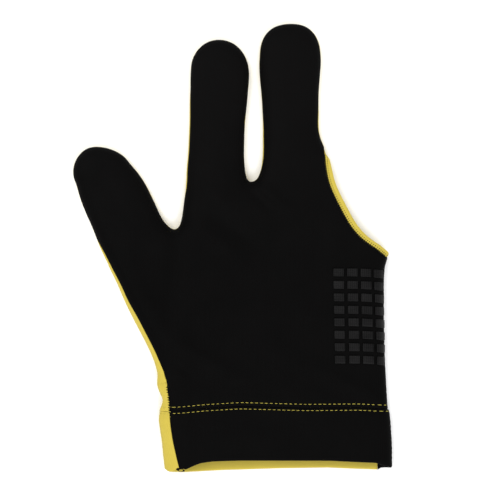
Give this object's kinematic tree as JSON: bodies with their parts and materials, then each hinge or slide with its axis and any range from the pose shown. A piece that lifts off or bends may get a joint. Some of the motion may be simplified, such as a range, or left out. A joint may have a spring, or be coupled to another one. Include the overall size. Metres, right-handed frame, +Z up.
{
  "type": "billiard glove",
  "caption": "Stretch billiard glove with thumb, index and middle stalls, an open bound side for the other fingers, a doubled cuff and rubber grip tiles on the palm.",
  "frame": {"origin": "middle of the glove's box, on the surface that the back of the glove lies on", "axes": "+X towards the open little-finger side, +Y from the cuff to the fingertips, +Z up, out of the palm"},
  "size_m": [0.156, 0.2194, 0.0118],
  "materials": {
    "black_cloth": "matt black stretch knit",
    "yellow_cloth": "matt yellow stretch knit",
    "grip_rubber": "satin black rubber with a fine hatch"
  },
  "bodies": {
    "root": {"palm_panel": "black_cloth", "palm_cuff": "black_cloth", "back_panel": "yellow_cloth", "back_cuff": "yellow_cloth", "opening_binding": "yellow_cloth", "grip_tile_1_1": "grip_rubber", "grip_tile_1_2": "grip_rubber", "grip_tile_1_3": "grip_rubber", "grip_tile_1_4": "grip_rubber", "grip_tile_2_1": "grip_rubber", "grip_tile_2_2": "grip_rubber", "grip_tile_2_3": "grip_rubber", "grip_tile_2_4": "grip_rubber", "grip_tile_3_1": "grip_rubber", "grip_tile_3_2": "grip_rubber", "grip_tile_3_3": "grip_rubber", "grip_tile_3_4": "grip_rubber", "grip_tile_4_1": "grip_rubber", "grip_tile_4_2": "grip_rubber", "grip_tile_4_3": "grip_rubber", "grip_tile_4_4": "grip_rubber", "grip_tile_5_1": "grip_rubber", "grip_tile_5_2": "grip_rubber", "grip_tile_5_3": "grip_rubber", "grip_tile_5_4": "grip_rubber", "grip_tile_6_1": "grip_rubber", "grip_tile_6_2": "grip_rubber", "grip_tile_6_3": "grip_rubber", "grip_tile_6_4": "grip_rubber", "grip_tile_7_1": "grip_rubber", "grip_tile_7_2": "grip_rubber", "grip_tile_7_3": "grip_rubber", "grip_tile_7_4": "grip_rubber", "grip_tile_8_1": "grip_rubber", "grip_tile_8_2": "grip_rubber", "grip_tile_8_3": "grip_rubber", "grip_tile_8_4": "grip_rubber"}
  },
  "joints": []
}
